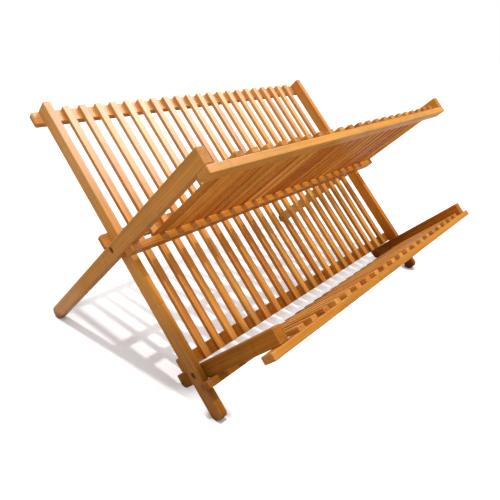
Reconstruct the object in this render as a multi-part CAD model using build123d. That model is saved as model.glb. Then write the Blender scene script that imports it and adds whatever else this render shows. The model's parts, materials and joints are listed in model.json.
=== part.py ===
from build123d import *
import os
from math import cos, radians, sin

# Folding dish drying rack, open: three slatted bamboo panels that stand as an X. Millimetres.
# The main panel leans back on the front feet. The upper panel crosses it on two pins, leans
# forward and ends in the rear feet. The lower shelf turns on two pins low on the main panel.
# +X runs along the rack, +Y to the back and +Z up. The origin is on the floor, mid rack.

# Lean of each panel from the floor, in degrees
main_lean = 44.3
upper_lean = 45.0
shelf_lean = 45.0

# Slats, which all three panels share
slat_pitch = 20.0
slat_width = 8.2
slat_thickness = 5.0
slat_edge = 0.4
main_slat_count = 21

# Cross rails, which the stiles and slats lie on
rail_width = 14.5
rail_thickness = 7.5
rail_edge = 0.8
rail_corner = 1.0
rail_round_end = 2.5

# Side bars: thickness runs along X, front and back are measured from the pivot
main_stile_thickness = 8.7
main_stile_front = 9.3
main_stile_back = 6.6
upper_stile_thickness = 9.2
upper_stile_inner = 6.0
upper_stile_outer = 9.9
shelf_side_thickness = 10.7
shelf_side_upper = 6.5
shelf_side_lower = 9.1
bar_edge = 1.0
bar_end_radius = 1.5

# Lengths along each panel, from its pivot
main_reach = 169.7
main_leg = 194.2
main_top_rail_drop = 0.3
upper_rear_rail_start = 20.0
shelf_pivot_drop = 146.0
shelf_reach = 120.3
shelf_tail = 41.3
shelf_front_rail_inset = 0.3

# Overhangs of the rails past the bars that they lie on
main_rail_inset = 0.9
shelf_rail_overhang = 4.5

# Feet
foot_radius = 6.0
foot_flat = 0.4
shelf_tail_radius = 6.5

# Pivot pins
pin_radius = 3.3
pin_edge = 0.3
pin_recess = 2.0
pin_grip = 6.5
pin_end_gap = 0.5

# Clearances
side_clearance = 0.5
running_clearance = 0.05
stop_gap = 0.3
shelf_rail_gap = 0.9
shelf_slat_room = 6.0

# Places along X, from the middle plane of the rack outwards
last_slat = (main_slat_count - 1) / 2 * slat_pitch
edge_gap = shelf_slat_room + shelf_side_thickness + side_clearance
main_inner_x = last_slat + slat_width / 2 + edge_gap
main_outer_x = main_inner_x + main_stile_thickness
upper_inner_x = main_outer_x + side_clearance
upper_outer_x = upper_inner_x + upper_stile_thickness
shelf_outer_x = main_inner_x - side_clearance
shelf_inner_x = shelf_outer_x - shelf_side_thickness
main_rail_half = upper_outer_x - main_rail_inset
shelf_rail_half = main_outer_x + shelf_rail_overhang

# Angle between crossing panels, which places the stops that hold the rack open
upper_cross = radians(main_lean + upper_lean)
shelf_cross = radians(main_lean + shelf_lean)

# The shelf's pin goes through the middle of the main stile
shelf_pivot_depth = (main_stile_front - main_stile_back) / 2

# The mid rail's ends rest on the upper panel's legs
main_rail_back = main_stile_back + rail_thickness
mid_rail_start = (upper_stile_inner + stop_gap + main_rail_back * cos(upper_cross)) / sin(upper_cross)

# The bottom rail lies just above the shelf's side bars
bottom_rail_rise = shelf_side_upper + shelf_rail_gap
bottom_rail_rise += (main_rail_back + shelf_pivot_depth) * cos(shelf_cross)
bottom_rail_start = bottom_rail_rise / sin(shelf_cross) - shelf_pivot_drop
top_rail_start = main_reach - main_top_rail_drop - rail_width

# The shelf's rear rail rests on the front of the main stiles
shelf_rail_back = shelf_side_lower + rail_thickness
shelf_rear_start = main_stile_front + stop_gap - shelf_pivot_depth
shelf_rear_start += shelf_rail_back * cos(shelf_cross)
shelf_rear_start /= sin(shelf_cross)
shelf_front_end = shelf_reach - shelf_front_rail_inset
shelf_front_start = shelf_front_end - rail_width

# The upper panel ends level with the top of the main panel
main_tilt = radians(main_lean)
upper_tilt = radians(upper_lean)
shelf_tilt = radians(shelf_lean)
upper_rise = (main_reach - bar_end_radius) * sin(main_tilt)
upper_rise += (main_stile_front - bar_end_radius) * cos(main_tilt)
upper_rise -= (upper_stile_inner - bar_end_radius) * cos(upper_tilt)
upper_reach = bar_end_radius + upper_rise / sin(upper_tilt)
upper_front_start = upper_reach - rail_width

# Pivot height that puts the rounded main feet on the floor, and upper legs that reach it too
pivot_height = (main_leg - foot_radius) * sin(main_tilt) + foot_radius - foot_flat
pivot_height += (main_stile_back - foot_radius) * cos(main_tilt)
upper_drop = pivot_height - foot_radius + foot_flat
upper_drop -= (upper_stile_outer - foot_radius) * cos(upper_tilt)
upper_leg = foot_radius + upper_drop / sin(upper_tilt)

# Each panel's own frame: y runs up the panel from its pivot, z out of its upper face.
# The main panel's x is the rack's +X. The other two face the other way, so theirs is -X.
main_frame = Plane(
    origin=(0, 0, pivot_height), x_dir=(1, 0, 0), z_dir=(0, -sin(main_tilt), cos(main_tilt))
)
upper_frame = Plane(
    origin=(0, 0, pivot_height), x_dir=(-1, 0, 0), z_dir=(0, sin(upper_tilt), cos(upper_tilt))
)
shelf_pivot = main_frame.from_local_coords(Vector(0, -shelf_pivot_drop, shelf_pivot_depth))
shelf_frame = Plane(
    origin=shelf_pivot, x_dir=(-1, 0, 0), z_dir=(0, sin(shelf_tilt), cos(shelf_tilt))
)


def side_bar(x_inner, thickness, low, high, under, upper, under_radius, upper_radius):
    """Bar beside the slats, from low to high along the panel, rounded at its low end."""
    outline = Pos((low + high) / 2, (under + upper) / 2) * Rectangle(high - low, upper - under)
    outline = fillet(outline.vertices().group_by(Axis.X)[-1], bar_end_radius)
    outline = fillet(outline.vertices().group_by(Axis.X)[0].sort_by(Axis.Y)[0], under_radius)
    outline = fillet(outline.vertices().group_by(Axis.X)[0].sort_by(Axis.Y)[-1], upper_radius)
    bar = extrude(Plane.YZ.offset(x_inner) * outline, amount=thickness)
    return fillet(bar.faces().filter_by(Axis.X).edges(), bar_edge)


def x_cylinder(radius, x_start, x_end, along, depth):
    """Cylinder along x between two places, for pins and their holes."""
    centre = Pos((x_start + x_end) / 2, along, depth)
    return centre * Rot(0, 90, 0) * Cylinder(radius, x_end - x_start)


def cross_rail(half_length, start, front, corner=rail_corner):
    """Rail across the panel whose slats and bars lie on its front face."""
    rail = Box(2 * half_length, rail_width, rail_thickness)
    rail = fillet(rail.edges().filter_by(Axis.Z), corner)
    rail = fillet(rail.faces().filter_by(Axis.Z).edges(), rail_edge)
    return Pos(0, start + rail_width / 2, front - rail_thickness / 2) * rail


def slats(count, start, end, back):
    """Row of equal slats on the rails, spaced evenly about the middle plane."""
    slat = Box(slat_width, end - start, slat_thickness)
    slat = fillet(slat.edges(), slat_edge)
    slat = Pos(0, (start + end) / 2, back + slat_thickness / 2) * slat
    return [Pos((i - (count - 1) / 2) * slat_pitch, 0, 0) * slat for i in range(count)]


def pivot_pin(x_start, x_end, along, depth):
    """Round pin with both ends eased."""
    pin = x_cylinder(pin_radius, x_start, x_end, along, depth)
    return chamfer(pin.edges().filter_by(GeomType.CIRCLE), pin_edge)


# Pins: each one is tight in the main stile, and the other panel turns on it
upper_pin_start = main_outer_x - pin_grip
upper_pin_end = upper_outer_x - pin_recess
shelf_pin_start = shelf_outer_x - pin_grip
shelf_pin_end = main_outer_x - pin_recess
turning_radius = pin_radius + running_clearance
upper_pin = pivot_pin(upper_pin_start, upper_pin_end, 0, 0)
shelf_pin = pivot_pin(shelf_pin_start, shelf_pin_end, -shelf_pivot_drop, shelf_pivot_depth)

# Side bars, each drilled for its pins
main_stile = side_bar(
    main_inner_x,
    main_stile_thickness,
    -main_leg,
    main_reach,
    -main_stile_back,
    main_stile_front,
    foot_radius,
    foot_radius,
)
main_stile -= x_cylinder(pin_radius, upper_pin_start - pin_end_gap, upper_inner_x, 0, 0)
main_stile -= x_cylinder(
    pin_radius, shelf_outer_x, upper_inner_x, -shelf_pivot_drop, shelf_pivot_depth
)
upper_stile = side_bar(
    upper_inner_x,
    upper_stile_thickness,
    -upper_leg,
    upper_reach,
    -upper_stile_outer,
    upper_stile_inner,
    foot_radius,
    foot_radius,
)
upper_stile -= x_cylinder(turning_radius, main_outer_x, upper_outer_x + side_clearance, 0, 0)
shelf_side = side_bar(
    shelf_inner_x,
    shelf_side_thickness,
    -shelf_tail,
    shelf_reach,
    -shelf_side_lower,
    shelf_side_upper,
    shelf_tail_radius,
    bar_end_radius,
)
shelf_side -= x_cylinder(turning_radius, shelf_pin_start - pin_end_gap, main_inner_x, 0, 0)


def on_floor(bar, frame):
    """Bar placed in the rack, with its foot cut flat by the floor."""
    return split(frame.location * bar, bisect_by=Plane.XY, keep=Keep.TOP)


def left_of(shape):
    """The same piece on the other side of the rack."""
    return mirror(shape, about=Plane.YZ)


nodes = {}

# Main panel
main_front = -main_stile_back
nodes["main_stile_right"] = on_floor(main_stile, main_frame)
nodes["main_stile_left"] = left_of(nodes["main_stile_right"])
top_rail = cross_rail(main_rail_half, top_rail_start, main_front, rail_round_end)
mid_rail = cross_rail(main_rail_half, mid_rail_start, main_front, rail_round_end)
bottom_rail = cross_rail(main_outer_x, bottom_rail_start, main_front)
nodes["main_top_rail"] = main_frame.location * top_rail
nodes["main_mid_rail"] = main_frame.location * mid_rail
nodes["main_bottom_rail"] = main_frame.location * bottom_rail
for i, slat in enumerate(slats(main_slat_count, bottom_rail_start, main_reach, main_front)):
    nodes[f"main_slat_{i + 1:02d}"] = main_frame.location * slat

# Upper panel, whose slats line up with the main panel's
upper_front = -upper_stile_outer
nodes["upper_stile_left"] = on_floor(upper_stile, upper_frame)
nodes["upper_stile_right"] = left_of(nodes["upper_stile_left"])
front_rail = cross_rail(upper_outer_x, upper_front_start, upper_front)
rear_rail = cross_rail(upper_outer_x, upper_rear_rail_start, upper_front)
nodes["upper_front_rail"] = upper_frame.location * front_rail
nodes["upper_rear_rail"] = upper_frame.location * rear_rail
for i, slat in enumerate(slats(main_slat_count, upper_rear_rail_start, upper_reach, upper_front)):
    nodes[f"upper_slat_{main_slat_count - i:02d}"] = upper_frame.location * slat

# Lower shelf, whose slats stand opposite the main panel's gaps
shelf_front = -shelf_side_lower
nodes["lower_side_rail_left"] = shelf_frame.location * shelf_side
nodes["lower_side_rail_right"] = left_of(nodes["lower_side_rail_left"])
shelf_front_rail = cross_rail(shelf_rail_half, shelf_front_start, shelf_front)
shelf_rear_rail = cross_rail(shelf_rail_half, shelf_rear_start, shelf_front)
nodes["lower_front_rail"] = shelf_frame.location * shelf_front_rail
nodes["lower_rear_rail"] = shelf_frame.location * shelf_rear_rail
shelf_slats = slats(main_slat_count - 1, shelf_rear_start, shelf_front_end, shelf_front)
nodes["lower_slats"] = shelf_frame.location * Compound(children=shelf_slats)

# Pivot pins, one pair a node
for name, pin in (("upper_pivot_pins", upper_pin), ("lower_pivot_pins", shelf_pin)):
    right_pin = main_frame.location * pin
    nodes[name] = Compound(children=[right_pin, left_of(right_pin)])

# The origin moves to the middle of the rack's depth
depth_middle = Compound(list(nodes.values())).bounding_box().center().Y
to_origin = Pos(0, -depth_middle, 0)

os.makedirs("parts", exist_ok=True)
for name, shape in nodes.items():
    placed = to_origin * shape
    placed.label = name
    export_step(placed, f"parts/{name}.step")

whole = (to_origin * Compound(list(nodes.values()))).bounding_box()
print(f"size {whole.size.X:.2f} x {whole.size.Y:.2f} x {whole.size.Z:.2f}")
print(f"bounds Y {whole.min.Y:.3f} {whole.max.Y:.3f}, Z {whole.min.Z:.3f} {whole.max.Z:.3f}")
print(f"upper pivot Y {-depth_middle:.4f} Z {pivot_height:.4f}")
print(f"shelf pivot Y {shelf_pivot.Y - depth_middle:.4f} Z {shelf_pivot.Z:.4f}")
print(f"upper leg {upper_leg:.3f}, upper reach {upper_reach:.3f}, mid rail {mid_rail_start:.3f}, bottom rail {bottom_rail_start:.3f}")
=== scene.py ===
# %% [markdown]
# # A folding bamboo dish rack
#
# The rack is three slatted panels. The main panel leans back, the upper panel crosses it on two
# pins and leans forward, and a short shelf turns on two pins near the floor. The CAD model is the
# frame for the looks: it says where each bar lies and what turns, and this script gives every bar
# its eased edges, its fibre and its lacquer. All lengths are metres.

import json
from collections import namedtuple
from math import cos, pi, radians, sin

import bmesh
import bpy
from mathutils import Matrix, Vector


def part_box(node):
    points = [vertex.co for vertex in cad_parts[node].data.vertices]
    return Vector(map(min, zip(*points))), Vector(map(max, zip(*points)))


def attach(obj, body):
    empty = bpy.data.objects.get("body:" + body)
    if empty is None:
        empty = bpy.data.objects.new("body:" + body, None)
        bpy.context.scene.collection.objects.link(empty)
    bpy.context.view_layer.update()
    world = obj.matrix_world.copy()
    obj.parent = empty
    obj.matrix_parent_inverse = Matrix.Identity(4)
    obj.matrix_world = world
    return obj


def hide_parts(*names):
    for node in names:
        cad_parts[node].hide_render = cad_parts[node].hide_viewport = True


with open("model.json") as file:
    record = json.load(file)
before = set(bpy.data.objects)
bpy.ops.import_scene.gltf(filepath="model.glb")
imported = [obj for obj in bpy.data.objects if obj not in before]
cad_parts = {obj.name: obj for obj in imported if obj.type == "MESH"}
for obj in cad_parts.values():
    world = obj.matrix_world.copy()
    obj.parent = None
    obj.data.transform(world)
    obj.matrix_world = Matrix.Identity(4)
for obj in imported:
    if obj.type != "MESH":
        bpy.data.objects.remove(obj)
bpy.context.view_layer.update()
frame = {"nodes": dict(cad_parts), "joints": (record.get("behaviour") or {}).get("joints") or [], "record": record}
scene = bpy.context.scene
scene.view_settings.view_transform = "Standard"


def short(numbers):
    """Numbers rounded for printing."""
    return [round(value, 4) for value in numbers]


# %% [markdown]
# ## One set of axes for each panel
#
# A slat is easiest to make lying flat: x across the panel, y up the panel from its hinge, z out of
# its upper face. Each panel then needs one matrix that stands it up in the rack. The hinges come
# from the frame's joints, and the leans are the ones that the CAD model is built with. Placing a
# mesh by its matrix, and not by moving its object, keeps every object at the origin.

# %% Panel axes
main_lean = 44.3
upper_lean = 45.0
shelf_lean = 45.0
hinge = {joint["child"]: Vector(joint["pos_m"]) for joint in frame["joints"]}


def panel_axes(origin, lean_degrees, faces_front):
    """Matrix from a panel's own flat axes to the rack."""
    lean = radians(lean_degrees)
    side = 1 if faces_front else -1
    across = Vector((side, 0, 0))
    upward = Vector((0, side * cos(lean), sin(lean)))
    outward = Vector((0, -side * sin(lean), cos(lean)))
    turn = Matrix((across, upward, outward)).transposed()
    return Matrix.Translation(origin) @ turn.to_4x4()


panel = {
    "main_panel": panel_axes(hinge["upper_panel"], main_lean, True),
    "upper_panel": panel_axes(hinge["upper_panel"], upper_lean, False),
    "lower_shelf": panel_axes(hinge["lower_shelf"], shelf_lean, False),
}
for name, axes in panel.items():
    print(name, "hinge at", short(axes.translation))

# %% [markdown]
# The same matrices, turned round, read sizes back from the frame. In its panel's flat axes a bar
# is square to x, y and z, so its box there is its true size, and no length has to be written twice.
# Rounding to a micron drops the noise that turning short floats leaves behind.

# %% Boxes in a panel's flat axes
Spot = namedtuple("Spot", "x y z")


def to_micron(numbers):
    """Numbers in metres, rounded to a micron."""
    return [round(value, 6) for value in numbers]


def corners(points):
    """Lowest and highest corner of some points."""
    low = Vector([min(point[i] for point in points) for i in range(3)])
    high = Vector([max(point[i] for point in points) for i in range(3)])
    return low, high


def flat_box(body, *cad_names):
    """Box of some CAD nodes, in the flat axes of the panel that they ride on."""
    to_flat = panel[body].inverted()
    meshes = [frame["nodes"][name].data for name in cad_names]
    box = corners([to_flat @ vertex.co for mesh in meshes for vertex in mesh.vertices])
    return [Spot(*to_micron(corner)) for corner in box]


def flat_hinge(body, hinge_name):
    """Place of a hinge, in the flat axes of a panel."""
    return Spot(*to_micron(panel[body].inverted() @ hinge[hinge_name]))


def middle_and_size(low, high):
    """Middle and size of a box."""
    middle = Spot(*[(start + end) / 2 for start, end in zip(low, high)])
    size = Spot(*[end - start for start, end in zip(low, high)])
    return middle, size


print("main stile, flat:", [short(corner) for corner in flat_box("main_panel", "main_stile_left")])

# %% [markdown]
# ## Wiring nodes
#
# Geometry and shader trees are both lists of nodes with links between their sockets. A few small
# helpers keep the trees readable: one makes a node and fills its sockets with numbers or links,
# three do a step of arithmetic, and one starts a group.

# %% Node helpers
def feed(tree, socket, value):
    """Links a socket into another, or sets its number."""
    if isinstance(value, bpy.types.NodeSocket):
        tree.links.new(value, socket)
    else:
        socket.default_value = value


def node(tree, kind, feeds=None, **settings):
    """New node with its settings made and its input sockets fed."""
    made = tree.nodes.new(kind)
    for key, value in settings.items():
        setattr(made, key, value)
    for key, value in (feeds or {}).items():
        feed(tree, made.inputs[key], value)
    return made


def calc(tree, operation, *values):
    """One step of arithmetic, in either kind of tree."""
    step = tree.nodes.new("ShaderNodeMath")
    step.operation = operation
    for socket, value in zip(step.inputs, values):
        feed(tree, socket, value)
    return step.outputs[0]


def vector_calc(tree, operation, *values):
    """One step of vector arithmetic. Gives its node, for the result may be a vector or a number."""
    return node(tree, "ShaderNodeVectorMath", dict(enumerate(values)), operation=operation)


def eased(tree, value, low, high, start=0.0, end=1.0):
    """Smooth step of a value between two limits."""
    feeds = {"Value": value, "From Min": low, "From Max": high, "To Min": start, "To Max": end}
    return node(tree, "ShaderNodeMapRange", feeds, interpolation_type="SMOOTHSTEP").outputs[0]


def blank_tree(name, kind, inputs, outputs):
    """Empty node group with named sockets, and its input and output nodes."""
    tree = bpy.data.node_groups.new(name, kind)
    for label, socket_type, value in inputs:
        socket = tree.interface.new_socket(label, in_out="INPUT", socket_type=socket_type)
        if value is not None:
            socket.default_value = value
    for label, socket_type in outputs:
        tree.interface.new_socket(label, in_out="OUTPUT", socket_type=socket_type)
    return tree, tree.nodes.new("NodeGroupInput"), tree.nodes.new("NodeGroupOutput")


print("helpers ready")

# %% [markdown]
# ## Fibre, the first shared effect
#
# Bamboo strip has no growth rings on its faces. It has straight fibre that runs the whole length
# of the bar, broad drifts of tone, short darker flecks where the plant's veins were, and now and
# then the darker scar of a cane joint. Each bar carries a "grain" attribute, which is its own flat
# coordinates, and a "tone" number, so noise stretched along y follows every bar wherever it
# leans, and no two bars repeat.

# %% Shader group: bamboo fibre
# Noise scales across, along and through a bar
streak_scale = (620.0, 5.0, 620.0)
broad_scale = (150.0, 4.0, 150.0)
drift_scale = (30.0, 17.0, 30.0)
vein_scale = (1500.0, 26.0, 1500.0)
tone_shift = (3.1, 5.7, 2.3)
joint_waviness = 0.012
# Shares of the shade, and the noise levels between which each mask goes from nothing to full
streak_share = 0.45
broad_share = 0.35
drift_share = 0.20
shade_levels = (0.30, 0.70)
fleck_levels = (0.58, 0.72)
drift_levels = (0.3, 0.7)
scar_levels = (0.010, 0.0)
vein_dip = -0.4


def stretched_noise(tree, vector, scale, detail):
    """Noise drawn out along the bar by giving y a much smaller scale."""
    scaled = vector_calc(tree, "MULTIPLY", vector, scale).outputs[0]
    feeds = {"Vector": scaled, "Scale": 1.0, "Detail": detail, "Roughness": 0.55}
    return node(tree, "ShaderNodeTexNoise", feeds).outputs[0]


fibre, fibre_in, fibre_out = blank_tree(
    "bamboo_fibre",
    "ShaderNodeTree",
    [
        ("Grain", "NodeSocketVector", None),
        ("Tone", "NodeSocketFloat", 0.5),
        ("Joint Spacing", "NodeSocketFloat", 0.24),
    ],
    [
        ("Shade", "NodeSocketFloat"),
        ("Fleck", "NodeSocketFloat"),
        ("Joint Scar", "NodeSocketFloat"),
        ("Drift", "NodeSocketFloat"),
        ("Height", "NodeSocketFloat"),
    ],
)
shift = {0: tone_shift, "Scale": fibre_in.outputs["Tone"]}
shift = node(fibre, "ShaderNodeVectorMath", shift, operation="SCALE").outputs[0]
own = vector_calc(fibre, "ADD", fibre_in.outputs["Grain"], shift).outputs[0]
streak = stretched_noise(fibre, own, streak_scale, 3.0)
broad = stretched_noise(fibre, own, broad_scale, 2.0)
drift = stretched_noise(fibre, own, drift_scale, 2.0)
vein = stretched_noise(fibre, own, vein_scale, 1.0)
shade = calc(fibre, "MULTIPLY", streak, streak_share)
shade = calc(fibre, "MULTIPLY_ADD", broad, broad_share, shade)
shade = calc(fibre, "MULTIPLY_ADD", drift, drift_share, shade)
along = node(fibre, "ShaderNodeSeparateXYZ", {0: own}).outputs["Y"]
along = calc(fibre, "MULTIPLY_ADD", broad, joint_waviness, along)
along = calc(fibre, "DIVIDE", along, fibre_in.outputs["Joint Spacing"])
from_joint = calc(fibre, "SUBTRACT", calc(fibre, "FRACT", along), 0.5)
from_joint = calc(fibre, "ABSOLUTE", from_joint)
feed(fibre, fibre_out.inputs["Shade"], eased(fibre, shade, *shade_levels))
feed(fibre, fibre_out.inputs["Fleck"], eased(fibre, vein, *fleck_levels))
feed(fibre, fibre_out.inputs["Joint Scar"], eased(fibre, from_joint, *scar_levels))
feed(fibre, fibre_out.inputs["Drift"], eased(fibre, drift, *drift_levels))
feed(fibre, fibre_out.inputs["Height"], calc(fibre, "MULTIPLY_ADD", vein, vein_dip, streak))
print("fibre group with", len(fibre.nodes), "nodes")

# %% [markdown]
# ## Handled edges and cut ends, the second shared effect
#
# Long edges lose a little of their stain to sanding and to plates, and their paler colour is partly a
# painted highlight along the rounded edges. A cut end drinks more of the stain and shows the fibre as dots.
# A pointiness map would depend on how finely a mesh is divided.
# The bars know their own half sizes, so the distance to an edge is exact: it is the middle one of
# the three distances to the bar's faces.

# %% Shader group: edges and ends
rub_scale = 140.0
rub_levels = (0.35, 0.65)
least_rub = 0.25
cut_end_levels = (0.25, 0.8)
pore_scale = (1500.0, 60.0, 1500.0)
pore_levels = (0.45, 0.2)
edges, edges_in, edges_out = blank_tree(
    "edge_and_end",
    "ShaderNodeTree",
    [
        ("Grain", "NodeSocketVector", None),
        ("Half Size", "NodeSocketVector", None),
        ("End", "NodeSocketFloat", 0.0),
        ("Edge Width", "NodeSocketFloat", 0.0012),
    ],
    [("Edge", "NodeSocketFloat"), ("Cut End", "NodeSocketFloat"), ("Pore", "NodeSocketFloat")],
)
place = edges_in.outputs["Grain"]
from_middle = vector_calc(edges, "ABSOLUTE", place).outputs[0]
inside = vector_calc(edges, "SUBTRACT", edges_in.outputs["Half Size"], from_middle).outputs[0]
gap = node(edges, "ShaderNodeSeparateXYZ", {0: inside}).outputs
nearer = calc(edges, "MINIMUM", gap["X"], gap["Z"])
further = calc(edges, "MAXIMUM", gap["X"], gap["Z"])
middle = calc(edges, "MAXIMUM", nearer, calc(edges, "MINIMUM", further, gap["Y"]))
rub = {"Vector": place, "Scale": rub_scale, "Detail": 2.0}
rub = node(edges, "ShaderNodeTexNoise", rub).outputs[0]
edge_band = eased(edges, middle, edges_in.outputs["Edge Width"], 0.0)
worn_and_highlit = calc(edges, "MULTIPLY", edge_band, eased(edges, rub, *rub_levels, least_rub, 1.0))
dots = vector_calc(edges, "MULTIPLY", place, pore_scale).outputs[0]
dots = node(edges, "ShaderNodeTexVoronoi", {"Vector": dots, "Scale": 1.0}).outputs["Distance"]
cut_end = edges_in.outputs["End"]
pore = calc(edges, "MULTIPLY", cut_end, eased(edges, dots, *pore_levels))
feed(edges, edges_out.inputs["Edge"], worn_and_highlit)
feed(edges, edges_out.inputs["Cut End"], eased(edges, cut_end, *cut_end_levels))
feed(edges, edges_out.inputs["Pore"], pore)
print("edge group with", len(edges.nodes), "nodes")

# %% [markdown]
# ## Two bamboo finishes
#
# Slats and frame bars are the same cane under the same satin lacquer, but the slats are split
# thinner and vary more from one to the next, some redder and some more like straw, while the
# frame bars are a shade deeper. Both are one recipe with its own values. It starts with the cane
# itself: a ramp of honey tones driven by the fibre, darker flecks and joint scars, a slightly
# paler edge that is partly wear and partly a painted highlight, a browner cut end and olive blotches.

# %% Cane colour
hue_step = 17.3
hue_levels = (0.35, 1.0)
most_red = 0.9
blotch_levels = (0.5, 1.0)
most_blotch = 0.6
fleck_brown = (0.62, 0.48, 0.34, 1)
scar_brown = (0.66, 0.50, 0.35, 1)
worn_and_highlit_straw = (0.86, 0.52, 0.22, 1)
end_brown = (0.88, 0.76, 0.62, 1)
pore_brown = (0.55, 0.42, 0.30, 1)
olive_blotch = (0.76, 0.76, 0.60, 1)


def new_material(name):
    """Material with nodes, its tree and its shader."""
    material = bpy.data.materials.new(name)
    material.use_nodes = True
    return material, material.node_tree, material.node_tree.nodes["Principled BSDF"]


def attribute(tree, name, output="Fac"):
    """Output of a value that the mesh carries."""
    return node(tree, "ShaderNodeAttribute", attribute_name=name).outputs[output]


def tint(tree, blend_type, amount, under, over):
    """Mixes one colour over another."""
    mix = node(tree, "ShaderNodeMix", data_type="RGBA", blend_type=blend_type)
    sockets = [socket for socket in mix.inputs if socket.enabled]
    for socket, value in zip(sockets, (amount, under, over)):
        feed(tree, socket, value)
    return [socket for socket in mix.outputs if socket.enabled][0]


def honey_ramp(tree, value, colours):
    """Colour ramp with evenly spaced stops."""
    ramp = node(tree, "ShaderNodeValToRGB", {"Fac": value})
    stops = ramp.color_ramp.elements
    while len(stops) < len(colours):
        stops.new(0.5)
    for i, colour in enumerate(colours):
        stops[i].position = i / (len(colours) - 1)
        stops[i].color = (*colour, 1.0)
    return ramp.outputs["Color"]


def cane_colour(tree, cane, rim, bar_tone, look):
    """Tone from the fibre, pushed up or down for the whole bar, with the cane's own marks."""
    middle_level = 0.5 - 0.5 * look["contrast"] - 0.5 * look["variety"]
    level = calc(tree, "MULTIPLY_ADD", cane["Shade"], look["contrast"], middle_level)
    level = calc(tree, "MULTIPLY_ADD", bar_tone, look["variety"], level)
    colour = honey_ramp(tree, level, look["honey"])
    hue = calc(tree, "FRACT", calc(tree, "MULTIPLY", bar_tone, hue_step))
    red = eased(tree, hue, *hue_levels, 0.0, most_red)
    colour = tint(tree, "MULTIPLY", red, colour, look["redder"])
    # The paler edge is partly wear and partly a painted highlight along the rounded edges.
    marks = [
        ("MULTIPLY", cane["Fleck"], 0.40, fleck_brown),
        ("MULTIPLY", cane["Joint Scar"], 0.30, scar_brown),
        ("MIX", rim["Edge"], 0.22, worn_and_highlit_straw),
        ("MULTIPLY", rim["Cut End"], 0.60, end_brown),
        ("MULTIPLY", rim["Pore"], 0.45, pore_brown),
    ]
    for blend_type, mask, strength, mark_colour in marks:
        amount = calc(tree, "MULTIPLY", mask, strength)
        colour = tint(tree, blend_type, amount, colour, mark_colour)
    blotch = eased(tree, cane["Drift"], *blotch_levels, 0.0, most_blotch)
    return tint(tree, "MULTIPLY", blotch, colour, olive_blotch)


print("cane colour ready")

# %% [markdown]
# Light and shade are painted into the colour here. The front of the rack is darker towards the floor
# (painted shade), and the soles of the feet carry a painted contact shadow. The back legs and the left
# end are paler (painted light), and the top of the main panel is paler and creamier (painted sheen).
# Soft masks on the Object coordinates tint those places. The slats' backs are deeper in colour, painted shade.

# %% Painted light and shade by place
# Places in the rack between which each mask goes from nothing to full
rear_leg_z = (0.13, 0.03)
rear_leg_y = (0.05, 0.12)
left_end_x = (-0.2285, -0.2298)
bleached_z = (0.15, 0.21)
bleached_y = (0.04, 0.08)
painted_shade_y = (0.0, -0.07)
painted_shade_full_z = 0.005
sole_z = (0.004, -0.014)
# The same within a bar's own thickness, where -1 is its back
back_face = (-0.85, -1.0)
# How far the drifts move those heights, and how strong the masks get
uneven_height = -0.02
rear_leg_painted_light = 0.40
left_end_painted_light = 0.14
sole_painted_shade = 0.9
painted_light_tan = (0.62, 0.36, 0.20, 1)
bleached_cream = (0.80, 0.52, 0.27, 1)
painted_shade_brown = (0.52, 0.45, 0.36, 1)
sole_shade_brown = (0.36, 0.30, 0.24, 1)


def painted_light_and_shade(tree, colour, drift, to_back, look):
    """Painted light and shade laid over the cane's colour: paler rear legs and left end, a paler top, a darker low
    front and soles, and deeper backs.
    """
    spot = node(tree, "ShaderNodeTexCoord").outputs["Object"]
    spot = node(tree, "ShaderNodeSeparateXYZ", {0: spot}).outputs
    height = calc(tree, "MULTIPLY_ADD", drift, uneven_height, spot["Z"])
    # Painted light: the rear legs and the far left end are mixed towards a paler tan.
    rear_leg = eased(tree, height, *rear_leg_z, 0.0, rear_leg_painted_light)
    rear_leg = calc(tree, "MULTIPLY", rear_leg, eased(tree, spot["Y"], *rear_leg_y))
    left_end = eased(tree, spot["X"], *left_end_x, 0.0, left_end_painted_light)
    colour = tint(tree, "MIX", calc(tree, "MAXIMUM", rear_leg, left_end), colour, painted_light_tan)
    # Painted sheen: the top of the main panel is mixed towards a pale cream.
    bleached = eased(tree, spot["Z"], *bleached_z, 0.0, look["bleach"])
    bleached = calc(tree, "MULTIPLY", bleached, eased(tree, spot["Y"], *bleached_y))
    colour = tint(tree, "MIX", bleached, colour, bleached_cream)
    # Painted shade: the front of the rack darkens towards the floor, lower on the slats than on the frame bars.
    damp = eased(tree, height, look["damp_height"], painted_shade_full_z)
    damp = calc(tree, "MULTIPLY", damp, eased(tree, spot["Y"], *painted_shade_y))
    colour = tint(tree, "MULTIPLY", damp, colour, painted_shade_brown)
    # Painted contact shadow: every bar darkens at its very bottom, where the feet meet the floor.
    sole = eased(tree, height, *sole_z, 0.0, sole_painted_shade)
    colour = tint(tree, "MULTIPLY", sole, colour, sole_shade_brown)
    # Painted shade: the backs of the slats are multiplied to a deeper, more saturated colour.
    return tint(tree, "MULTIPLY", eased(tree, to_back, *back_face), colour, look["back_tint"])


print("painted_light_marks ready")

# %% [markdown]
# The sheen sits in a thin clear coat that is a little uneven, nearly gone on cut ends, and thinner
# on the darkest bars and on every bar's back. Roughness and coat follow the fibre, so the
# light breaks up along a bar as it does on real strip.

# %% Bamboo material recipe
satin_rough = 0.36
drift_rough = 0.10
edge_rough = 0.10
end_rough = 0.18
end_bare = 0.8
bare_step = 0.45
least_coat = 0.15
coat_weights = (0.04, 0.075)
coat_rough = 0.28
bare_sheen = 0.02
fibre_relief = 0.00012


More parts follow.
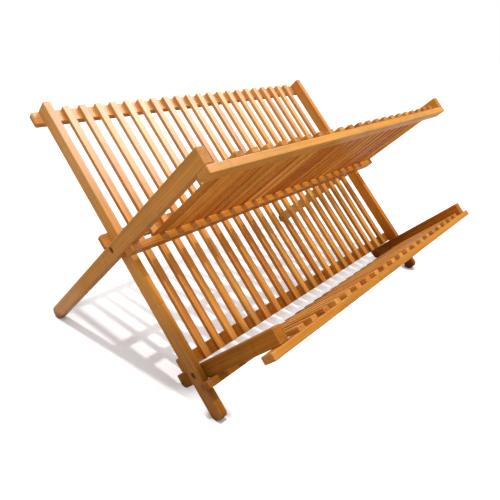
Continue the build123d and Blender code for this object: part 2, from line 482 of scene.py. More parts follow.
def lacquer(tree, shader, cane, rim, bar_tone, to_back, look):
    """Satin lacquer, duller on worn edges and on cut ends."""
    rough = calc(tree, "MULTIPLY_ADD", cane["Drift"], drift_rough, satin_rough)
    rough = calc(tree, "MULTIPLY_ADD", rim["Edge"], edge_rough, rough)
    rough = calc(tree, "MULTIPLY_ADD", rim["Cut End"], end_rough, rough)
    feed(tree, shader.inputs["Roughness"], rough)
    bare_tones = (look["bare_tone"], look["bare_tone"] + bare_step)
    coat = calc(tree, "SUBTRACT", 1.0, calc(tree, "MULTIPLY", rim["Cut End"], end_bare))
    coat = calc(tree, "MULTIPLY", coat, eased(tree, bar_tone, *bare_tones, least_coat, 1.0))
    coat = calc(tree, "MULTIPLY", coat, eased(tree, cane["Drift"], 0.0, 1.0, *coat_weights))
    coat = calc(tree, "MULTIPLY", coat, eased(tree, to_back, *back_face, 1.0, least_coat))
    feed(tree, shader.inputs["Coat Weight"], coat)
    shader.inputs["Coat Roughness"].default_value = coat_rough
    shader.inputs["Specular IOR Level"].default_value = bare_sheen


def bamboo(name, **look):
    """Lacquered bamboo on the shared fibre and edge groups."""
    material, tree, shader = new_material(name)
    grain = attribute(tree, "grain", "Vector")
    half = attribute(tree, "half", "Vector")
    bar_tone = attribute(tree, "tone")
    cane = {"Grain": grain, "Tone": bar_tone, "Joint Spacing": look["joint_spacing"]}
    cane = node(tree, "ShaderNodeGroup", cane, node_tree=fibre).outputs
    rim = {"Grain": grain, "Half Size": half, "End": attribute(tree, "end")}
    rim["Edge Width"] = look["edge_width"]
    rim = node(tree, "ShaderNodeGroup", rim, node_tree=edges).outputs
    to_back = vector_calc(tree, "DIVIDE", grain, half).outputs[0]
    to_back = node(tree, "ShaderNodeSeparateXYZ", {0: to_back}).outputs["Z"]
    colour = cane_colour(tree, cane, rim, bar_tone, look)
    colour = painted_light_and_shade(tree, colour, cane["Drift"], to_back, look)
    feed(tree, shader.inputs["Base Color"], colour)
    lacquer(tree, shader, cane, rim, bar_tone, to_back, look)
    relief = {"Height": cane["Height"], "Strength": 0.35, "Distance": fibre_relief}
    feed(tree, shader.inputs["Normal"], node(tree, "ShaderNodeBump", relief).outputs[0])
    return material


slat_bamboo = bamboo(
    "slat_bamboo",
    honey=[(0.42, 0.138, 0.020), (0.57, 0.220, 0.036), (0.70, 0.320, 0.066), (0.82, 0.437, 0.122)],
    redder=(0.97, 0.86, 0.72, 1),
    variety=0.48,
    contrast=0.9,
    joint_spacing=0.26,
    edge_width=0.0011,
    damp_height=0.055,
    bleach=0.28,
    back_tint=(1.0, 0.78, 0.25, 1),
    bare_tone=-0.6,
)
frame_bamboo = bamboo(
    "frame_bamboo",
    honey=[(0.34, 0.120, 0.012), (0.48, 0.180, 0.021), (0.61, 0.252, 0.036), (0.74, 0.350, 0.066)],
    redder=(1.0, 0.80, 0.60, 1),
    variety=0.6,
    contrast=0.6,
    joint_spacing=0.31,
    edge_width=0.0014,
    damp_height=0.14,
    bleach=0.12,
    back_tint=(1.0, 1.0, 1.0, 1),
    bare_tone=0.05,
)
print("bamboo finishes:", slat_bamboo.name, frame_bamboo.name)

# %% [markdown]
# The pins are plain steel, darkened by damp. Only their recessed ends ever show, so what matters
# is the fine turned rings round the axis, which runs along the rack, and a few duller spots.

# %% Pin steel
ring_step = 0.00035
ring_relief = 0.00005
damp_spot_scale = 700.0
damp_spot_levels = (0.42, 0.68)
steel_rough = (0.36, 0.72)
steel_metal = (1.0, 0.45)
clean_steel = (0.10, 0.09, 0.08, 1)
dull_steel = (0.035, 0.024, 0.018, 1)
pin_steel, tree, shader = new_material("pin_steel")
grain = attribute(tree, "grain", "Vector")
reach = node(tree, "ShaderNodeSeparateXYZ", {0: grain}).outputs
radius = calc(tree, "ADD", calc(tree, "POWER", reach["Y"], 2.0), calc(tree, "POWER", reach["Z"], 2.0))
radius = calc(tree, "SQRT", radius)
rings = calc(tree, "SINE", calc(tree, "MULTIPLY", radius, 2 * pi / ring_step))
damp = {"Vector": grain, "Scale": damp_spot_scale, "Detail": 3.0}
damp = eased(tree, node(tree, "ShaderNodeTexNoise", damp).outputs[0], *damp_spot_levels)
feed(tree, shader.inputs["Base Color"], tint(tree, "MIX", damp, clean_steel, dull_steel))
feed(tree, shader.inputs["Roughness"], eased(tree, damp, 0.0, 1.0, *steel_rough))
feed(tree, shader.inputs["Metallic"], eased(tree, damp, 0.0, 1.0, *steel_metal))
relief = {"Height": rings, "Strength": 0.3, "Distance": ring_relief}
feed(tree, shader.inputs["Normal"], node(tree, "ShaderNodeBump", relief).outputs[0])
print("pin finish:", pin_steel.name)

# %% [markdown]
# ## Slats and rails from one geometry tree
#
# Every slat is the same bar repeated at one pitch, and a cross rail is the same bar again, wider
# and only once. Bevelling almost seventy bars by hand is slow, so a tree makes one and repeats
# it. A rectangle with filleted corners is swept along eight stations, and near each end the section
# is drawn in along a quarter circle, which eases the end's edges as sandpaper does. The bar
# stores its own coordinates before it is copied. Its tone is a set value, for a rail, plus a
# random share, for the slats of a row.

# %% Geometry tree: inputs and the swept bar
fillet_points = 3
row, row_in, row_out = blank_tree(
    "row_of_bars",
    "GeometryNodeTree",
    [
        ("Count", "NodeSocketInt", 1),
        ("Pitch", "NodeSocketFloat", 0.02),
        ("Width", "NodeSocketFloat", 0.0082),
        ("Thickness", "NodeSocketFloat", 0.005),
        ("Length", "NodeSocketFloat", 0.3),
        ("Edge", "NodeSocketFloat", 0.0004),
        ("End Edge", "NodeSocketFloat", 0.0004),
        ("Wander", "NodeSocketFloat", 0.0),
        ("Tone", "NodeSocketFloat", 0.5),
        ("Tone Spread", "NodeSocketFloat", 0.0),
        ("Seed", "NodeSocketInt", 0),
        ("Finish", "NodeSocketMaterial", None),
    ],
    [("Geometry", "NodeSocketGeometry")],
)
given = row_in.outputs
half_length = calc(row, "MULTIPLY", given["Length"], 0.5)
section = {"Width": given["Width"], "Height": given["Thickness"]}
section = node(row, "GeometryNodeCurvePrimitiveQuadrilateral", section).outputs[0]
section = {"Curve": section, "Count": fillet_points, "Radius": given["Edge"], "Limit Radius": True}
section = node(row, "GeometryNodeFilletCurve", section, mode="POLY").outputs[0]

# Eight stations along the bar, four in each eased end
shares = [1 - sin(radians(angle)) for angle in (90, 60, 30, 0)]
shares = [(-1, share) for share in shares] + [(1, share) for share in reversed(shares)]
stations = node(row, "GeometryNodeMeshLine", {"Count": len(shares)}).outputs[0]
pick = node(row, "GeometryNodeIndexSwitch", data_type="FLOAT")
while len(pick.index_switch_items) < len(shares):
    pick.index_switch_items.new()
feed(row, pick.inputs["Index"], node(row, "GeometryNodeInputIndex").outputs[0])
for i, (side, share) in enumerate(shares):
    back = calc(row, "MULTIPLY_ADD", given["End Edge"], -share, half_length)
    feed(row, pick.inputs[i + 1], calc(row, "MULTIPLY", back, side))
spot = node(row, "ShaderNodeCombineXYZ", {"Y": pick.outputs[0]}).outputs[0]
stations = node(row, "GeometryNodeSetPosition", {"Geometry": stations, "Position": spot}).outputs[0]
spine = node(row, "GeometryNodeMeshToCurve", {"Mesh": stations}).outputs[0]
spine = node(row, "GeometryNodeSetCurveNormal", {"Curve": spine}, mode="Z_UP").outputs[0]
bar = {"Curve": spine, "Profile Curve": section, "Fill Caps": True}
bar = node(row, "GeometryNodeCurveToMesh", bar).outputs[0]
print("swept bar with", len(shares), "stations")

# %% Geometry tree: eased ends and stored values
def keep_value(geometry, name, value, data_type="FLOAT", domain="POINT"):
    """Stores a value on the geometry for the materials to read."""
    feeds = {"Geometry": geometry, "Name": name, "Value": value}
    made = node(row, "GeometryNodeStoreNamedAttribute", data_type=data_type, domain=domain)
    enabled = {socket.name: socket for socket in made.inputs if socket.enabled}
    for key, item in feeds.items():
        feed(row, enabled[key], item)
    return made.outputs[0]


where = node(row, "GeometryNodeInputPosition").outputs[0]
where = node(row, "ShaderNodeSeparateXYZ", {0: where}).outputs
into_end = calc(row, "SUBTRACT", half_length, given["End Edge"])
into_end = calc(row, "SUBTRACT", calc(row, "ABSOLUTE", where["Y"]), into_end)
into_end = calc(row, "MAXIMUM", into_end, 0.0)
left = calc(row, "POWER", given["End Edge"], 2.0)
left = calc(row, "SUBTRACT", left, calc(row, "POWER", into_end, 2.0))
draw_in = calc(row, "SQRT", calc(row, "MAXIMUM", left, 0.0))
draw_in = calc(row, "SUBTRACT", draw_in, given["End Edge"])
offset = {axis: calc(row, "MULTIPLY", calc(row, "SIGN", where[axis]), draw_in) for axis in "XZ"}
offset = node(row, "ShaderNodeCombineXYZ", offset).outputs[0]
bar = keep_value(bar, "end", calc(row, "DIVIDE", into_end, given["End Edge"]))
bar = node(row, "GeometryNodeSetPosition", {"Geometry": bar, "Offset": offset}).outputs[0]
bar = keep_value(bar, "grain", node(row, "GeometryNodeInputPosition").outputs[0], "FLOAT_VECTOR")
half_size = {
    "X": calc(row, "MULTIPLY", given["Width"], 0.5),
    "Y": half_length,
    "Z": calc(row, "MULTIPLY", given["Thickness"], 0.5),
}
half_size = node(row, "ShaderNodeCombineXYZ", half_size).outputs[0]
bar = keep_value(bar, "half", half_size, "FLOAT_VECTOR")
print("bar with its end, grain and half size")

# %% Geometry tree: copies
# Copies stand at the pitch, each a hair off its mark and with its own tone
tone_seed_step = 71.0
first = calc(row, "MULTIPLY", calc(row, "SUBTRACT", given["Count"], 1.0), given["Pitch"])
first = node(row, "ShaderNodeCombineXYZ", {"X": calc(row, "MULTIPLY", first, -0.5)}).outputs[0]
step = node(row, "ShaderNodeCombineXYZ", {"X": given["Pitch"]}).outputs[0]
marks = {"Count": given["Count"], "Start Location": first, "Offset": step}
marks = node(row, "GeometryNodeMeshLine", marks).outputs[0]
stray = {"Seed": given["Seed"], 2: calc(row, "MULTIPLY", given["Wander"], -1.0), 3: given["Wander"]}
stray = node(row, "FunctionNodeRandomValue", stray, data_type="FLOAT").outputs[1]
stray = node(row, "ShaderNodeCombineXYZ", {"X": stray}).outputs[0]
marks = node(row, "GeometryNodeSetPosition", {"Geometry": marks, "Offset": stray}).outputs[0]
copies = node(row, "GeometryNodeInstanceOnPoints", {"Points": marks, "Instance": bar}).outputs[0]
own_tone = {"Seed": calc(row, "ADD", given["Seed"], tone_seed_step), 2: -0.5, 3: 0.5}
own_tone = node(row, "FunctionNodeRandomValue", own_tone, data_type="FLOAT").outputs[1]
own_tone = calc(row, "MULTIPLY_ADD", own_tone, given["Tone Spread"], given["Tone"])
copies = keep_value(copies, "tone", own_tone, domain="INSTANCE")
copies = node(row, "GeometryNodeRealizeInstances", {"Geometry": copies}).outputs[0]
copies = node(row, "GeometryNodeSetShadeSmooth", {"Geometry": copies}).outputs[0]
finish = {"Geometry": copies, "Material": given["Finish"]}
copies = node(row, "GeometryNodeSetMaterial", finish).outputs[0]
feed(row, row_out.inputs["Geometry"], copies)
print("row tree with", len(row.nodes), "nodes")

# %% [markdown]
# ## From a tree to a plain piece
#
# The modifier's inputs are set by socket identifier before anything is evaluated. A Weighted
# Normal modifier follows it, so the broad faces stay flat and only the narrow eased edges shade
# round. The evaluated result becomes a plain mesh, takes its place by its panel's matrix, and then
# rides on its body and stands for its CAD nodes.

# %% Making, placing and handing over a piece
def new_object(name, mesh):
    """Object for a mesh, in the scene."""
    made = bpy.data.objects.new(name, mesh)
    scene.collection.objects.link(made)
    return made


def mesh_from(solid, name):
    """Mesh of a finished bmesh, which is freed."""
    mesh = bpy.data.meshes.new(name)
    solid.to_mesh(mesh)
    solid.free()
    return mesh


def discard(thing):
    """Removes an object that was only a tool, and its mesh."""
    old = thing.data
    bpy.data.objects.remove(thing)
    bpy.data.meshes.remove(old)


def plain_mesh(maker):
    """Evaluates an object's modifiers into a new mesh and removes the object."""
    evaluated = maker.evaluated_get(bpy.context.evaluated_depsgraph_get())
    mesh = bpy.data.meshes.new_from_object(evaluated)
    discard(maker)
    return mesh


def weighted_normals(maker):
    """Lets the broad faces rule the shading."""
    weighted = maker.modifiers.new("flat faces", "WEIGHTED_NORMAL")
    weighted.weight = 100
    weighted.keep_sharp = True


def bars(sizes):
    """Mesh of a row of bars, flat and centred."""
    maker = new_object("bar maker", bpy.data.meshes.new("bar maker"))
    modifier = maker.modifiers.new("row", "NODES")
    modifier.node_group = row
    for item in row.interface.items_tree:
        if item.in_out == "INPUT" and item.name in sizes:
            modifier[item.identifier] = sizes[item.name]
    weighted_normals(maker)
    return plain_mesh(maker)


def measure(piece, cad_names):
    """Prints how sound a piece is and how far its box is from its CAD nodes' box."""
    boxes = [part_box(name) for name in cad_names]
    cad_low, cad_high = corners([Vector(corner) for box in boxes for corner in box])
    low, high = corners([vertex.co for vertex in piece.data.vertices])
    off = max(abs(value) for value in (*(low - cad_low), *(high - cad_high)))
    solid = bmesh.new()
    solid.from_mesh(piece.data)
    volume = solid.calc_volume(signed=True) * 1e6
    open_edges = sum(not edge.is_manifold for edge in solid.edges)
    faces = len(solid.faces)
    solid.free()
    print(f"{piece.name}: {faces} faces, {volume:.1f} cm3,", end=" ")
    print(f"{open_edges} open edges, {off * 1000:.2f} mm off")


def hand_over(name, mesh, body, cad_names, place):
    """Places a mesh, makes it a piece on its body, and lets it stand for its CAD nodes."""
    mesh.name = name
    mesh.transform(place)
    mesh.update()
    piece = new_object(name, mesh)
    measure(piece, cad_names)
    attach(piece, body)
    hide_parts(*cad_names)


print("piece helpers ready")

# %% [markdown]
# ## Slats
#
# Twenty-one slats stand on the main panel and the same number, at the same marks, on the upper
# panel, so a plate passes straight through. The shelf's twenty stand opposite the gaps. All three
# rows are one call each, with their own seed. Length, thickness and pitch are read from the frame.

# %% Three rows of slats
slat_edge = 0.0004
slat_end_edge = 0.00035
slat_wander = 0.0002
slat_count = 21
main_slats = [f"main_slat_{i:02d}" for i in range(1, slat_count + 1)]
upper_slats = [f"upper_slat_{i:02d}" for i in range(1, slat_count + 1)]
slat_width = middle_and_size(*flat_box("main_panel", main_slats[0]))[1].x


def slat_row(name, body, count, tone, seed, cad_names):
    """One panel's slats, where the frame has them."""
    middle, size = middle_and_size(*flat_box(body, *cad_names))
    pitch = (size.x - slat_width) / (count - 1)
    sizes = {"Count": count, "Pitch": pitch, "Wander": slat_wander, "Seed": seed}
    sizes |= {"Width": slat_width, "Thickness": size.z, "Length": size.y}
    sizes |= {"Edge": slat_edge, "End Edge": slat_end_edge, "Finish": slat_bamboo}
    sizes |= {"Tone": tone, "Tone Spread": 1.0}
    place = panel[body] @ Matrix.Translation(middle)
    hand_over(name, bars(sizes), body, cad_names, place)


slat_row("main_slat_row", "main_panel", slat_count, tone=0.46, seed=4, cad_names=main_slats)
slat_row("upper_slat_row", "upper_panel", slat_count, tone=0.30, seed=9, cad_names=upper_slats)
slat_row("shelf_slat_row", "lower_shelf", slat_count - 1, tone=0.45, seed=15, cad_names=["lower_slats"])

# %% [markdown]
# ## Cross rails
#
# A rail is one bar turned to lie across its panel. The slats are glued and nailed on its face, so
# its long edges are nearly crisp. The main panel's rails have sanded, more rounded ends, and the
# others are cut off square.

# %% Seven cross rails
rail_edge = 0.0007
sanded_end = 0.0022
bottom_sanded_end = 0.0024
square_end = 0.0008
across_panel = Matrix.Rotation(pi / 2, 4, "Z")


def cross_rail(name, cad_name, body, end_edge, tone):
    """One rail, where the frame has it."""
    middle, size = middle_and_size(*flat_box(body, cad_name))
    sizes = {"Count": 1, "Width": size.y, "Thickness": size.z, "Length": size.x}
    sizes |= {"Edge": rail_edge, "End Edge": end_edge, "Tone": tone, "Finish": frame_bamboo}
    place = panel[body] @ Matrix.Translation(middle) @ across_panel
    hand_over(name, bars(sizes), body, [cad_name], place)


cross_rail("main_top_crosspiece", "main_top_rail", "main_panel", sanded_end, tone=0.42)
cross_rail("main_mid_crosspiece", "main_mid_rail", "main_panel", sanded_end, tone=0.12)
cross_rail("main_bottom_crosspiece", "main_bottom_rail", "main_panel", bottom_sanded_end, tone=0.63)
cross_rail("upper_front_crosspiece", "upper_front_rail", "upper_panel", square_end, tone=0.88)
cross_rail("upper_rear_crosspiece", "upper_rear_rail", "upper_panel", square_end, tone=0.27)
cross_rail("shelf_front_crosspiece", "lower_front_rail", "lower_shelf", square_end, tone=0.47)
cross_rail("shelf_rear_crosspiece", "lower_rear_rail", "lower_shelf", square_end, tone=0.00)

# %% [markdown]
# ## Side bars
#
# The six side bars carry the rails and turn on the pins. Each is a flat outline, with a rounded
# foot that is cut level where it stands, pulled out to its thickness and bevelled. Holes are
# drilled with a Boolean after the bevel, and a second, finer bevel that only takes right angles
# eases their rims.

# %% Outline of a side bar
def corner_arc(centre, radius, start_angle, steps=10):
    """Points of a quarter circle, counter-clockwise."""
    angles = [start_angle + pi / 2 * i / steps for i in range(steps + 1)]
    return [Vector((centre[0] + radius * cos(a), centre[1] + radius * sin(a))) for a in angles]


def bar_outline(low, high, foot_under, foot_upper, end):
    """Closed outline in y and z of a bar's box, with three corner radii."""
    points = corner_arc((low.y + foot_under, low.z + foot_under), foot_under, pi)
    points += corner_arc((high.y - end, low.z + end), end, 1.5 * pi)
    points += corner_arc((high.y - end, high.z - end), end, 0.0)
    points += corner_arc((low.y + foot_upper, high.z - foot_upper), foot_upper, 0.5 * pi)
    return points


def stand_on_floor(points, axes):
    """Cuts an outline where the floor does, when its panel stands in the rack."""
    heights = [(axes @ Vector((0, point.x, point.y))).z for point in points]
    kept = []
    for i, here in enumerate(points):
        after = (i + 1) % len(points)
        if heights[i] >= 0:
            kept.append(here)
        if (heights[i] < 0) != (heights[after] < 0):
            kept.append(here.lerp(points[after], heights[i] / (heights[i] - heights[after])))
    return kept


print("outline helpers ready")

# %% [markdown]
# A hole lies on its hinge's line and leaves through the bar's outer face. Where the pin ends inside
# the bar, the hole is blind and starts a little beyond the pin's tip. Where the pin goes on into
# the next bar, the hole goes right through.

# %% Solid bar and its drills
pin_radius = 0.0033
turning_clearance = 0.00005
turning_radius = pin_radius + turning_clearance
drill_overrun = 0.0005
drill_segments = 40


def pin_reach(cad_name):
    """How near to the rack's middle a pair of pins starts, and how far out it ends."""
    places = [abs(vertex.co.x) for vertex in frame["nodes"][cad_name].data.vertices]
    return to_micron((min(places), max(places)))


def pulled_bar(name, points, low_x, high_x):
    """Object with an outline pulled out along x."""
    solid = bmesh.new()
    cap = solid.faces.new([solid.verts.new((low_x, point.x, point.y)) for point in points])
    pulled = bmesh.ops.extrude_face_region(solid, geom=[cap])["geom"]
    moved = [item for item in pulled if isinstance(item, bmesh.types.BMVert)]
    bmesh.ops.translate(solid, verts=moved, vec=(high_x - low_x, 0, 0))
    bmesh.ops.remove_doubles(solid, verts=solid.verts, dist=1e-6)
    bmesh.ops.recalc_face_normals(solid, faces=solid.faces)
    mesh = mesh_from(solid, name)
    mesh.shade_smooth()
    return new_object(name, mesh)


def pin_drill(low, high, axis, pins, radius):
    """Cylinder that drills a bar with this box for one pin of a pair."""
    inner, outer = sorted((abs(low.x), abs(high.x)))
    start = max(pin_reach(pins)[0], inner) - drill_overrun
    end = outer + drill_overrun
    side = 1 if low.x > 0 else -1
    middle = Matrix.Translation((side * (start + end) / 2, axis.y, axis.z))
    turn = middle @ Matrix.Rotation(pi / 2, 4, "Y")
    size = {"radius1": radius, "radius2": radius, "depth": end - start, "segments": drill_segments}
    drill = bmesh.new()
    bmesh.ops.create_cone(drill, cap_ends=True, matrix=turn, **size)
    return new_object("drill", mesh_from(drill, "drill"))


print("crossing pins reach", short(pin_reach("upper_pivot_pins")))

# %% [markdown]
# Each bar is made in its panel's axes, the right and the left one alike. Its grain, half size,
# cut-end and tone values are written once the holes are in, because a Boolean would blur them.

# %% Making a side bar
edge_rounding = 0.001
rim_rounding = 0.0003
end_depth = 0.008
end_facing = (0.45, 0.95)


def round_edges(maker, label, width, segments, least_angle):
    """Bevels the edges that turn by more than an angle."""
    rounding = maker.modifiers.new(label, "BEVEL")
    rounding.width = width
    rounding.segments = segments
    rounding.limit_method = "ANGLE"
    rounding.angle_limit = radians(least_angle)


def write_values(mesh, tone):
    """Gives a finished bar the values that the bamboo reads."""
    low, high = corners([vertex.co for vertex in mesh.vertices])
    middle = (low + high) / 2
    half = high - middle
    ends = []
    for vertex in mesh.vertices:
        near_end = half.y - abs(vertex.co.y - middle.y) < end_depth
        facing = (abs(vertex.normal.y) - end_facing[0]) / (end_facing[1] - end_facing[0])
        ends.append(min(max(facing, 0.0), 1.0) if near_end else 0.0)
    vectors = {
        "grain": [value for vertex in mesh.vertices for value in vertex.co - middle],
        "half": [*half] * len(mesh.vertices),
    }
    for key, numbers in vectors.items():
        mesh.attributes.new(key, "FLOAT_VECTOR", "POINT").data.foreach_set("vector", numbers)
    for key, numbers in {"tone": [tone] * len(mesh.vertices), "end": ends}.items():
        mesh.attributes.new(key, "FLOAT", "POINT").data.foreach_set("value", numbers)


def side_bar(name, cad_name, body, radii, holes, tone):
    """Side bar where the frame has it. Each hole is a hinge, its pair of pins and a radius."""
    low, high = flat_box(body, cad_name)
    points = stand_on_floor(bar_outline(low, high, *radii), panel[body])
    maker = pulled_bar(name + " maker", points, low.x, high.x)
    round_edges(maker, "eased edges", edge_rounding, segments=3, least_angle=50)
    drills = []
    for hinge_name, pins, radius in holes:
        axis = flat_hinge(body, hinge_name)
        drills.append(pin_drill(low, high, axis, pins, radius))
        cut = maker.modifiers.new("hole", "BOOLEAN")
        cut.object = drills[-1]
        cut.operation = "DIFFERENCE"
        cut.solver = "EXACT"
    round_edges(maker, "eased rims", rim_rounding, segments=2, least_angle=75)
    weighted_normals(maker)
    bpy.context.view_layer.update()
    mesh = plain_mesh(maker)
    for drill in drills:
        discard(drill)
    write_values(mesh, tone)
    mesh.materials.clear()
    mesh.materials.append(frame_bamboo)
    hand_over(name, mesh, body, [cad_name], panel[body])


print("side bar maker ready")

# %% [markdown]
# The main stiles are drilled twice, a tight fit for both pins. The upper stiles and the shelf's
# side bars turn on their pins, so their one hole is a hair wider. Feet are rounded on both sides,
# and the shelf's bars only underneath, where they swing past the floor.

# %% Six side bars
end_radius = 0.0015
foot_radius = 0.006
tail_radius = 0.0065
standing = (foot_radius, foot_radius, end_radius)
hanging = (tail_radius, end_radius, end_radius)
crossing = ("upper_panel", "upper_pivot_pins")
shelf_pivot = ("lower_shelf", "lower_pivot_pins")
main_holes = [(*crossing, pin_radius), (*shelf_pivot, pin_radius)]
upper_holes = [(*crossing, turning_radius)]
shelf_holes = [(*shelf_pivot, turning_radius)]
# The right main stile's high tone is painted light, and the left shelf bar's low tone is painted shade.
main_tones = {"left": 0.58, "right": 0.92}
upper_tones = {"left": 0.30, "right": 0.95}
shelf_tones = {"left": -0.20, "right": 0.40}
for end in ("left", "right"):
    main_bar = ("main_side_bar_" + end, "main_stile_" + end, "main_panel")
    upper_bar = ("upper_side_bar_" + end, "upper_stile_" + end, "upper_panel")
    shelf_bar = ("shelf_side_bar_" + end, "lower_side_rail_" + end, "lower_shelf")
    side_bar(*main_bar, standing, main_holes, main_tones[end])
    side_bar(*upper_bar, standing, upper_holes, upper_tones[end])
    side_bar(*shelf_bar, hanging, shelf_holes, shelf_tones[end])

# %% [markdown]
# ## Pivot pins
#
# Each pin is a turned rod with eased ends and a small centre mark from the lathe. A profile spun
# round the axis makes it in one go, and the two pins of a pair are one mesh, as the CAD has them.

# %% Two pairs of pins
pin_ease = 0.0003
centre_mark_radius = 0.0007
centre_mark_depth = 0.0004
pin_turns = 40


def pin_profile(length):
    """Half section of a pin: place along and radius, from one end's centre to the other's."""
    end = [(centre_mark_depth, 0.0), (0.0, centre_mark_radius), (0.0, pin_radius - pin_ease)]
    end += [(0.3 * pin_ease, pin_radius - 0.3 * pin_ease), (pin_ease, pin_radius)]
    return end + [(length - along, radius) for along, radius in reversed(end)]


def pin_ring(solid, x, radius, axis, grain):
    """Ring of points round a hinge's line, or one point on it. Their grain is noted too."""
    ring = []
    for i in range(pin_turns if radius > 0 else 1):
        angle = 2 * pi * i / pin_turns
        y, z = radius * cos(angle), radius * sin(angle)
        ring.append(solid.verts.new((x, axis.y + y, axis.z + z)))
        grain += [x, y, z]
    return ring


def pin_pair(name, hinge_name, cad_name):
    """Both pins of a hinge, left and right."""
    axis = flat_hinge("main_panel", hinge_name)
    start, end = pin_reach(cad_name)
    solid = bmesh.new()
    grain = []
    for side in (-1, 1):
        profile = pin_profile(end - start)
        rings = []
        for along, radius in profile:
            rings.append(pin_ring(solid, side * (start + along), radius, axis, grain))
        for a, b in zip(rings, rings[1:]):
            for i in range(pin_turns):
                j = (i + 1) % pin_turns
                quad = [a[i % len(a)], a[j % len(a)], b[j % len(b)], b[i % len(b)]]
                solid.faces.new(list(dict.fromkeys(quad)))
    bmesh.ops.recalc_face_normals(solid, faces=solid.faces)
    mesh = mesh_from(solid, name)
    mesh.attributes.new("grain", "FLOAT_VECTOR", "POINT").data.foreach_set("vector", grain)
    mesh.shade_smooth()
    mesh.set_sharp_from_angle(angle=radians(40))
    mesh.materials.append(pin_steel)
    hand_over(name, mesh, "main_panel", [cad_name], panel["main_panel"])


pin_pair("crossing_pin_pair", *crossing)
pin_pair("shelf_pin_pair", *shelf_pivot)

# %% [markdown]
# ## Floor and light
#
# The rack stands on a white sweep under one fairly compact lamp almost straight above, which
# draws the slats as stripes of shadow on the floor, with a broad even fill from all round. A pale
# card to the right shows only in the lacquer's sheen. The floor is plain diffuse paper. The camera
# and the lacquer see a little extra white in it, most of it in front of the rack, so it meets the
# backdrop without a line and still keeps the shadow behind and the dark touch under the front feet.

# %% Floor
floor_reach = 6.0
paper_bounce = (0.36, 0.35, 0.35, 1)
paper_seen = (0.76, 0.74, 0.745, 1)
least_lift = 0.06
inner_lift = 0.24
front_lift = 0.60
inner_x = (-0.21, -0.17)
front_y = (-0.03, -0.08)
foot_shadow = (0.006, 0.018)
white = (1, 1, 1, 1)


def seen_rays(tree):
    """One where a camera, glossy or transmission ray arrives, and zero for light that bounces."""
    rays = node(tree, "ShaderNodeLightPath").outputs
    seen = rays["Is Camera Ray"]
    for kind in ("Is Glossy Ray", "Is Transmission Ray"):
        seen = calc(tree, "MAXIMUM", seen, rays[kind])
    return seen


floor_mesh = bpy.data.meshes.new("floor")
floor_corners = [(floor_reach * x, floor_reach * y, 0) for x, y in ((-1, -1), (1, -1), (1, 1), (-1, 1))]
floor_mesh.from_pydata(floor_corners, [], [(0, 1, 2, 3)])
floor = new_object("floor", floor_mesh)
paper, tree, shader = new_material("white_sweep")
tree.nodes.remove(shader)
seen = seen_rays(tree)
sheet = tint(tree, "MIX", seen, paper_bounce, paper_seen)
diffuse = node(tree, "ShaderNodeBsdfDiffuse", {"Color": sheet})
spot = node(tree, "ShaderNodeTexCoord").outputs["Object"]
near_foot = 1.0
for mount in frame["record"]["mounts"]:
    if mount["name"].startswith("front_foot"):
        away = vector_calc(tree, "DISTANCE", spot, mount["pos_m"]).outputs["Value"]
        near_foot = calc(tree, "MINIMUM", near_foot, away)
place = node(tree, "ShaderNodeSeparateXYZ", {0: spot}).outputs
lift = calc(tree, "MULTIPLY_ADD", eased(tree, place["X"], *inner_x), inner_lift, least_lift)
lift = calc(tree, "MULTIPLY_ADD", eased(tree, place["Y"], *front_y), front_lift, lift)
lift = calc(tree, "MULTIPLY", lift, eased(tree, near_foot, *foot_shadow))
glow = {"Color": white, "Strength": calc(tree, "MULTIPLY", seen, lift)}
glow = node(tree, "ShaderNodeEmission", glow)
both = node(tree, "ShaderNodeAddShader", {0: diffuse.outputs[0], 1: glow.outputs[0]})
feed(tree, tree.nodes["Material Output"].inputs["Surface"], both.outputs[0])
floor_mesh.materials.append(paper)
print("floor", 2 * floor_reach, "m square")

# %% Lamp and sheen card
lamp_toward = Vector((-0.05, -0.05, 1.0))
lamp_energy = 1.8
lamp_spread = 2.2
card_toward = Vector((0.52, -0.12, 0.85))
card_aim = Vector((0.0, 0.10, 0.22))
card_distance = 2.2
card_width = 0.75
card_height = 1.2
card_energy = 325.0


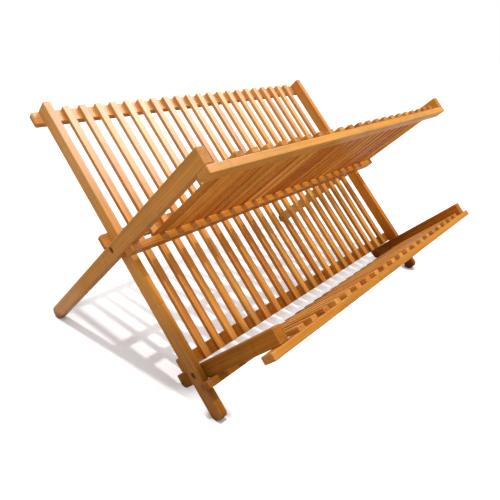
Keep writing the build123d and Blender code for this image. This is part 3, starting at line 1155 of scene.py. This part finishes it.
def new_lamp(name, kind, toward, energy):
    """Lamp that shines from a direction."""
    lamp = new_object(name, bpy.data.lights.new(name, kind))
    lamp.data.energy = energy
    lamp.rotation_euler = toward.to_track_quat("Z", "Y").to_euler()
    return lamp


key = new_lamp("overhead lamp", "SUN", lamp_toward, lamp_energy)
key.data.angle = radians(lamp_spread)
card = new_lamp("sheen card", "AREA", card_toward, card_energy)
card.data.shape = "RECTANGLE"
card.data.size = card_width
card.data.size_y = card_height
card.location = card_aim + card_distance * card_toward.normalized()
card.visible_diffuse = False
card.visible_camera = False
print("lamps:", key.name, card.name)

# %% Backdrop and fill
fill_toward = Vector((-0.15, -0.2, 0.95)).normalized()
fill_spread = (-0.3, 1.0)
fill_level = (0.32, 1.2)
world = bpy.data.worlds.new("white studio")
scene.world = world
world.use_nodes = True
tree = world.node_tree
sky = node(tree, "ShaderNodeTexCoord").outputs["Generated"]
toward = vector_calc(tree, "DOT_PRODUCT", sky, fill_toward).outputs["Value"]
fill = eased(tree, toward, *fill_spread, *fill_level)
background = tree.nodes["Background"]
background.inputs["Color"].default_value = white
feed(tree, background.inputs["Strength"], calc(tree, "MAXIMUM", fill, seen_rays(tree)))
print("fill from", fill_level[0], "below to", fill_level[1], "above")

# %% [markdown]
# ## Camera
#
# The photograph was matched with a 35 mm lens on a 36 mm wide square frame, about 0.6 m from the
# rack's near left end, looking down 25 degrees and tilted 3 degrees. Yaw, pitch and roll give the
# camera's three axes.

# %% Camera
camera_place = Vector((-0.489596, -0.339524, 0.348752))
yaw, pitch, roll = 0.8986079, 0.4414527, 0.0574883
lens_mm = 35.0
film_mm = 36.0
forward = Vector((sin(yaw) * cos(pitch), cos(yaw) * cos(pitch), -sin(pitch)))
level_right = Vector((cos(yaw), -sin(yaw), 0))
level_up = level_right.cross(forward)
camera_right = cos(roll) * level_right + sin(roll) * level_up
camera_up = -sin(roll) * level_right + cos(roll) * level_up
camera = new_object("camera", bpy.data.cameras.new("camera"))
camera.data.lens = lens_mm
camera.data.sensor_width = film_mm
turn = Matrix((camera_right, camera_up, -forward)).transposed().to_4x4()
camera.matrix_world = Matrix.Translation(camera_place) @ turn
scene.camera = camera
print("camera at", short(camera_place))
